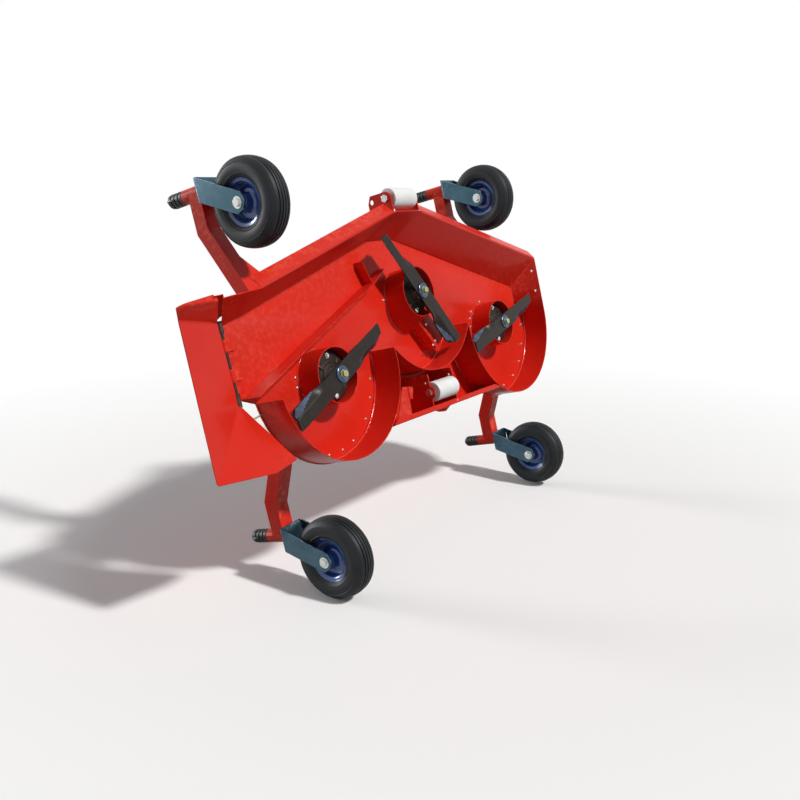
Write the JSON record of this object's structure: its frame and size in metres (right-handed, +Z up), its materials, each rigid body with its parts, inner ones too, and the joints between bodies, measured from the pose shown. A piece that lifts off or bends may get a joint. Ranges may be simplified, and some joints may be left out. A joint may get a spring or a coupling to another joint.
{
  "type": "front-mounted mower",
  "caption": "Red three-spindle front-mounted mower deck on caster wheels, with a side discharge chute, anti-scalp rollers, belt drive and gearbox.",
  "frame": {"origin": "bottom centre of the bounding box, on the ground under the four tyres", "axes": "+X to the operator's left, away from the discharge chute; +Y to the rear, toward the tractor; +Z up, in the working position"},
  "size_m": [1.8694, 1.3314, 0.4646],
  "materials": {
    "red_paint": "gloss red powder coat",
    "dark_steel": "dark, lightly rusted hardened steel",
    "bright_steel": "bright machined steel",
    "cast_iron": "dark grey painted castings",
    "belt_rubber": "black rubber belt",
    "white_plastic": "white nylon",
    "zinc_plate": "blue-grey zinc plating",
    "black_plastic": "black moulded plastic",
    "rim_paint": "blue-grey wheel paint",
    "tyre_rubber": "black ribbed rubber"
  },
  "bodies": {
    "deck": {"deck_plate": "red_paint", "front_skirt": "red_paint", "right_band": "red_paint", "centre_band": "red_paint", "left_band": "red_paint", "rear_flange": "red_paint", "discharge_baffle": "red_paint", "front_roller_bracket": "red_paint", "front_roller_axle": "zinc_plate", "rear_roller_axle": "zinc_plate", "gearbox": "cast_iron", "idler_bracket": "cast_iron", "chute_hinge_pin": "zinc_plate", "belt_cover_right": "red_paint", "belt_cover_left": "red_paint", "hitch_bracket_right": "red_paint", "hitch_bracket_left": "red_paint", "drive_belt": "belt_rubber", "arm_front_right": "red_paint", "arm_front_left": "red_paint", "arm_rear_right": "red_paint", "arm_rear_left": "red_paint", "spindle_housing_right": "cast_iron", "spindle_housing_centre": "cast_iron", "spindle_housing_left": "cast_iron"},
    "spindle_right": {"spindle_shaft_right": "bright_steel", "blade_right": "dark_steel", "spindle_pulley_right": "cast_iron"},
    "spindle_centre": {"spindle_shaft_centre": "bright_steel", "blade_centre": "dark_steel", "spindle_pulley_centre": "cast_iron"},
    "spindle_left": {"spindle_shaft_left": "bright_steel", "blade_left": "dark_steel", "spindle_pulley_left": "cast_iron"},
    "caster_front_right": {"caster_fork_front_right": "zinc_plate", "height_spacers_front_right": "black_plastic", "wheel_axle_front_right": "zinc_plate"},
    "wheel_front_right": {"wheel_rim_front_right": "rim_paint", "tyre_front_right": "tyre_rubber"},
    "caster_front_left": {"caster_fork_front_left": "zinc_plate", "height_spacers_front_left": "black_plastic", "wheel_axle_front_left": "zinc_plate"},
    "wheel_front_left": {"wheel_rim_front_left": "rim_paint", "tyre_front_left": "tyre_rubber"},
    "caster_rear_right": {"caster_fork_rear_right": "zinc_plate", "height_spacers_rear_right": "black_plastic", "wheel_axle_rear_right": "zinc_plate"},
    "wheel_rear_right": {"wheel_rim_rear_right": "rim_paint", "tyre_rear_right": "tyre_rubber"},
    "caster_rear_left": {"caster_fork_rear_left": "zinc_plate", "height_spacers_rear_left": "black_plastic", "wheel_axle_rear_left": "zinc_plate"},
    "wheel_rear_left": {"wheel_rim_rear_left": "rim_paint", "tyre_rear_left": "tyre_rubber"},
    "input": {"input_shaft": "bright_steel"},
    "idler": {"idler_pulley": "bright_steel"},
    "front_anti_scalp": {"front_roller": "white_plastic"},
    "rear_anti_scalp": {"rear_roller": "white_plastic"},
    "chute": {"discharge_chute": "red_paint"}
  },
  "joints": [
    {"name": "caster_swivel_front_right", "type": "hinge", "parent": "deck", "child": "caster_front_right", "pos_m": [-0.54147, -0.61071, 0.345], "axis": [0, 0, 1], "continuous": true},
    {"name": "wheel_spin_front_right", "type": "hinge", "parent": "caster_front_right", "child": "wheel_front_right", "pos_m": [-0.54147, -0.53571, 0.13], "axis": [1, 0, 0], "continuous": true},
    {"name": "caster_swivel_front_left", "type": "hinge", "parent": "deck", "child": "caster_front_left", "pos_m": [0.73454, -0.61071, 0.345], "axis": [0, 0, 1], "continuous": true},
    {"name": "wheel_spin_front_left", "type": "hinge", "parent": "caster_front_left", "child": "wheel_front_left", "pos_m": [0.73454, -0.53571, 0.13], "axis": [1, 0, 0], "continuous": true},
    {"name": "caster_swivel_rear_right", "type": "hinge", "parent": "deck", "child": "caster_rear_right", "pos_m": [-0.54147, 0.46071, 0.345], "axis": [0, 0, 1], "continuous": true},
    {"name": "wheel_spin_rear_right", "type": "hinge", "parent": "caster_rear_right", "child": "wheel_rear_right", "pos_m": [-0.54147, 0.53571, 0.13], "axis": [1, 0, 0], "continuous": true},
    {"name": "caster_swivel_rear_left", "type": "hinge", "parent": "deck", "child": "caster_rear_left", "pos_m": [0.73454, 0.46071, 0.345], "axis": [0, 0, 1], "continuous": true},
    {"name": "wheel_spin_rear_left", "type": "hinge", "parent": "caster_rear_left", "child": "wheel_rear_left", "pos_m": [0.73454, 0.53571, 0.13], "axis": [1, 0, 0], "continuous": true},
    {"name": "blade_spin_centre", "type": "hinge", "parent": "deck", "child": "spindle_centre", "pos_m": [0.09653, -0.20706, 0.157], "axis": [0, 0, 1], "continuous": true},
    {"name": "blade_spin_right", "type": "hinge", "parent": "deck", "child": "spindle_right", "pos_m": [-0.40347, 0.00091, 0.157], "axis": [0, 0, 1], "continuous": true},
    {"name": "blade_spin_left", "type": "hinge", "parent": "deck", "child": "spindle_left", "pos_m": [0.59653, -0.03309, 0.157], "axis": [0, 0, 1], "continuous": true},
    {"name": "input_spin", "type": "hinge", "parent": "deck", "child": "input", "pos_m": [0.09653, -0.1, 0.33], "axis": [0, 1, 0], "continuous": true},
    {"name": "idler_spin", "type": "hinge", "parent": "deck", "child": "idler", "pos_m": [0.2466, -0.21234, 0.24], "axis": [0, 0, 1], "continuous": true},
    {"name": "front_roller_spin", "type": "hinge", "parent": "deck", "child": "front_anti_scalp", "pos_m": [0.09653, -0.52906, 0.082], "axis": [1, 0, 0], "continuous": true},
    {"name": "rear_roller_spin", "type": "hinge", "parent": "deck", "child": "rear_anti_scalp", "pos_m": [0.08153, 0.14094, 0.06], "axis": [1, 0, 0], "continuous": true},
    {"name": "chute_hinge", "type": "hinge", "parent": "deck", "child": "chute", "pos_m": [-0.73947, -0.09509, 0.158], "axis": [0, 1, 0], "range_deg": [0, 75]}
  ],
  "couplings": [
    {"joint": "blade_spin_right", "follows": "blade_spin_centre", "ratio": 1},
    {"joint": "blade_spin_left", "follows": "blade_spin_centre", "ratio": 1},
    {"joint": "idler_spin", "follows": "blade_spin_centre", "ratio": -1.69},
    {"joint": "input_spin", "follows": "blade_spin_centre", "ratio": 0.72}
  ]
}
